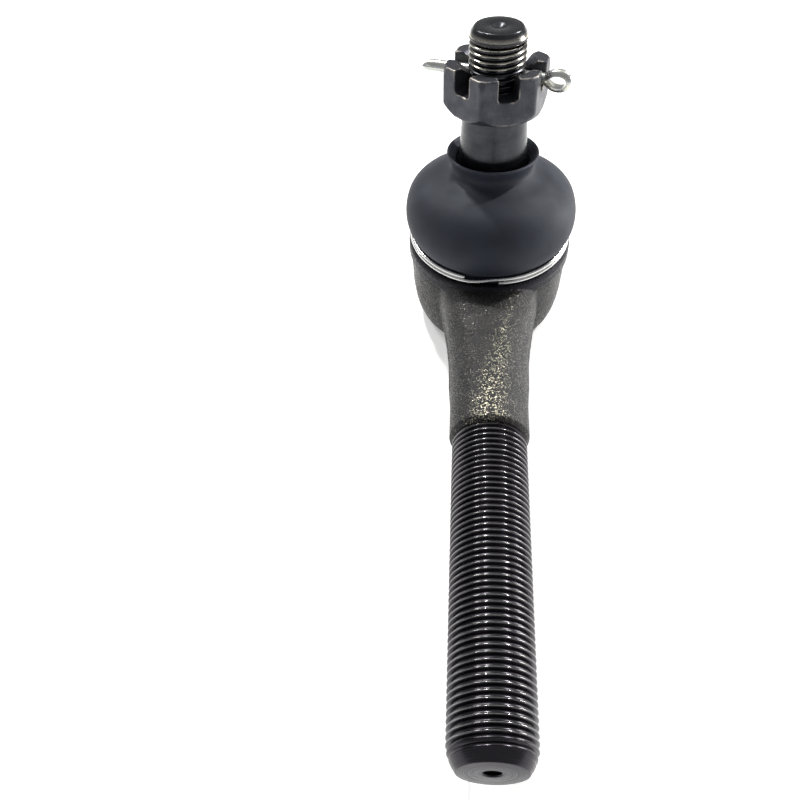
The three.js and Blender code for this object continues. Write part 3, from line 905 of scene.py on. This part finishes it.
def make_bearings():
    upper = [(15.0, 17.4), (15.3, 17.7), (15.3, 23.5), (15.0, 23.9), (10.5, 23.9)]
    upper += arc(0, BALL_Z, 11.75, 29.5, -3, 16)
    v, f = lathe(upper, 96, closed=True)
    piece_from("upper_seat", v, f, "housing", SINTERED, "sintered_bearing", ["upper_bearing"])
    lower = [(6.1, 7.2), (14.9, 7.2), (15.3, 7.6), (15.3, 16.3), (15.0, 16.6)]
    lower += arc(0, BALL_Z, 11.75, -6.8, -58.8, 24)
    v, f = lathe(lower, 96, closed=True)
    piece_from("lower_seat", v, f, "lower_bearing", SINTERED, "sintered_bearing", ["lower_bearing"])


def make_preload_spring():
    points = coil_points(lambda t: 12.9 - 3.6 * t, lambda t: 4.95 + 1.2 * t,
                         math.radians(40), math.radians(720), 260)
    v, f = tube(points, SEAT_SPRING_WIRE_R, 16)
    spring = piece_from("seat_spring", v, f, None, WIRE, "bright_wire", ["preload_spring"])
    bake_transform(spring)


make_cover()
make_bearings()
make_preload_spring()

# ---------------------------------------------------------------- grease fitting

FITTING_OUTLINE = [
    (-1, 17.2), (2.5, 17.2), (3.0, 17.9), (3.0, 23.6), (3.35, 26.6), (3.2, 27.3), (2.35, 28.3),
    (2.35, 29.4), (3.2, 30.5), (3.25, 31.5), (2.4, 32.8), (1.95, 33.35), (-1, 33.35),
]
FITTING_BORE = [
    (-1, 15), (0.85, 15), (0.85, 26.7), (1.75, 26.7), (1.75, 32.0), (1.05, 32.75), (1.2, 35), (-1, 35),
]


def fitting_distance(x, y, z):
    """The fitting along +Z: a thread, a hexagon and a nipple."""
    r = np.hypot(x, y)
    phase = np.mod(z - np.arctan2(y, x) / (2 * math.pi), 1.0)
    threaded = np.clip((22.6 - z) / 0.4, 0, 1) * np.clip((z - 17.3) / 0.4, 0, 1)
    groove = 0.5 * thread_depth(phase) * threaded
    shape = outline_distance(r, z, FITTING_OUTLINE) + groove * 0.75 * (z < 23)
    angle = np.arctan2(y, x)
    sixth = math.pi / 3
    local = np.mod(angle + sixth / 2, sixth) - sixth / 2
    hexagon = r * np.cos(local) - 4.45
    hexagon = np.maximum(hexagon, (r - 4.75 + (z - 26.6) * 1.2) * 0.64)
    hexagon = blended_max(hexagon, np.abs(z - 24.9) - 1.75, 0.15)
    body = blended_min(shape, hexagon, 0.3)
    return blended_max(body, -outline_distance(r, z, FITTING_BORE), 0.12)


def make_fitting():
    v, f = surface_net(fitting_distance, (-5.8, -5.8, 16.6), (5.8, 5.8, 34), FITTING_STEP)
    v = moved(along_plus_y(v), z=SHANK_Z)
    piece_from("grease_nipple", v, f, "housing", ZINC, "zinc_plate", ["grease_fitting_body"], 40)
    ball = [(0, 29.8), *arc(0, 31.2, 1.4, -80, 80, 22), (0, 32.6)]
    v, f = lathe(ball, 36)
    v = moved(along_plus_y(v), z=SHANK_Z)
    piece_from("nipple_check_ball", v, f, "grease_fitting_ball", WIRE, "bright_wire",
               ["grease_fitting_ball"])
    points = coil_points(lambda t: np.full_like(t, 1.05), lambda t: 27.2 + 2.1 * t, 0, 6 * math.pi, 120)
    v, f = tube(points, NIPPLE_WIRE_R, 10)
    v = moved(along_plus_y(v), z=SHANK_Z)
    spring = piece_from("nipple_spring", v, f, None, WIRE, "bright_wire", ["grease_fitting_spring"])
    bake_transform(spring)


make_fitting()

# ---------------------------------------------------------------- floor, light and camera

FLOOR_HALF = 3.0  # metres
FLOOR_GAP = 0.0001
WORLD_STRENGTH = 0.36
LAMP_TARGET = (0, -0.05, 0.02)  # metres; each lamp is 1 m from it

def make_floor():
    mesh = bpy.data.meshes.new("floor")
    corners = [(FLOOR_HALF * x, FLOOR_HALF * y, 0) for x, y in ((-1, -1), (1, -1), (1, 1), (-1, 1))]
    mesh.from_pydata(corners, [], [(0, 1, 2, 3)])
    floor = bpy.data.objects.new("floor", mesh)
    floor.location.z = -FLOOR_GAP
    f = Finish("pale_floor", 0.0)
    speckle = f.noise(40, 2)
    f.colour(f.mixed(speckle, (0.9, 0.9, 0.9), (0.94, 0.94, 0.94)))
    f.shader.inputs["Roughness"].default_value = 0.9
    f.shader.inputs["Emission Color"].default_value = (1, 1, 1, 1)
    f.shader.inputs["Emission Strength"].default_value = 0.3
    mesh.materials.append(f.material)
    bpy.context.scene.collection.objects.link(floor)


LAMPS = [  # degrees from overhead towards +X, share towards +Y, side in metres, watts
    (-40, 0.49, 0.2, 3.2), (-17, 0.49, 0.04, 5.5), (43, 0.49, 0.045, 6.5), (80, 0.3, 0.3, 6.5),
    (10, 0.45, 0.7, 1.0),
]


def area_light(name, place, size, watts):
    light = bpy.data.lights.new(name, "AREA")
    light.shape = "RECTANGLE"
    light.size = size
    light.size_y = size
    light.energy = watts
    light.color = (1, 0.985, 0.96)
    obj = bpy.data.objects.new(name, light)
    obj.location = place
    obj.rotation_euler = (Vector(LAMP_TARGET) - Vector(place)).to_track_quat("-Z", "Y").to_euler()
    bpy.context.scene.collection.objects.link(obj)


def make_light():
    world = bpy.data.worlds.new("studio")
    world.use_nodes = True
    background = world.node_tree.nodes["Background"]
    background.inputs["Color"].default_value = (0.97, 0.98, 1, 1)
    background.inputs["Strength"].default_value = WORLD_STRENGTH
    bpy.context.scene.world = world
    for number, (lean, back, size, watts) in enumerate(LAMPS):
        angle = math.radians(lean)
        level = math.sqrt(1 - back * back)
        place = (level * math.sin(angle), LAMP_TARGET[1] + back, level * math.cos(angle))
        area_light(f"lamp_{number}", place, size, watts)


CAMERA_LENS_PX = 880.0  # focal length for an image 800 wide
CAMERA_DOWN = math.radians(50.92)
CAMERA_TURN = math.radians(-5.65)
CAMERA_ROLL = math.radians(-3.16)
CAMERA_PLACE = (-0.00853, -0.19093, 0.18865)


def make_camera():
    data = bpy.data.cameras.new("camera")
    data.sensor_width = 36
    data.lens = CAMERA_LENS_PX / 800 * data.sensor_width
    data.clip_start = 0.01
    forward = Vector((math.sin(CAMERA_TURN) * math.cos(CAMERA_DOWN),
                      math.cos(CAMERA_TURN) * math.cos(CAMERA_DOWN), -math.sin(CAMERA_DOWN)))
    right = Vector((math.cos(CAMERA_TURN), -math.sin(CAMERA_TURN), 0))
    up = right.cross(forward)
    x = right * math.cos(CAMERA_ROLL) + up * math.sin(CAMERA_ROLL)
    y = up * math.cos(CAMERA_ROLL) - right * math.sin(CAMERA_ROLL)
    camera = bpy.data.objects.new("camera", data)
    camera.matrix_world = Matrix((
        (x.x, y.x, -forward.x, CAMERA_PLACE[0]),
        (x.y, y.y, -forward.y, CAMERA_PLACE[1]),
        (x.z, y.z, -forward.z, CAMERA_PLACE[2]),
        (0, 0, 0, 1),
    ))
    bpy.context.scene.collection.objects.link(camera)
    bpy.context.scene.camera = camera


make_floor()
make_light()
make_camera()
bpy.context.scene.view_settings.view_transform = "Standard"
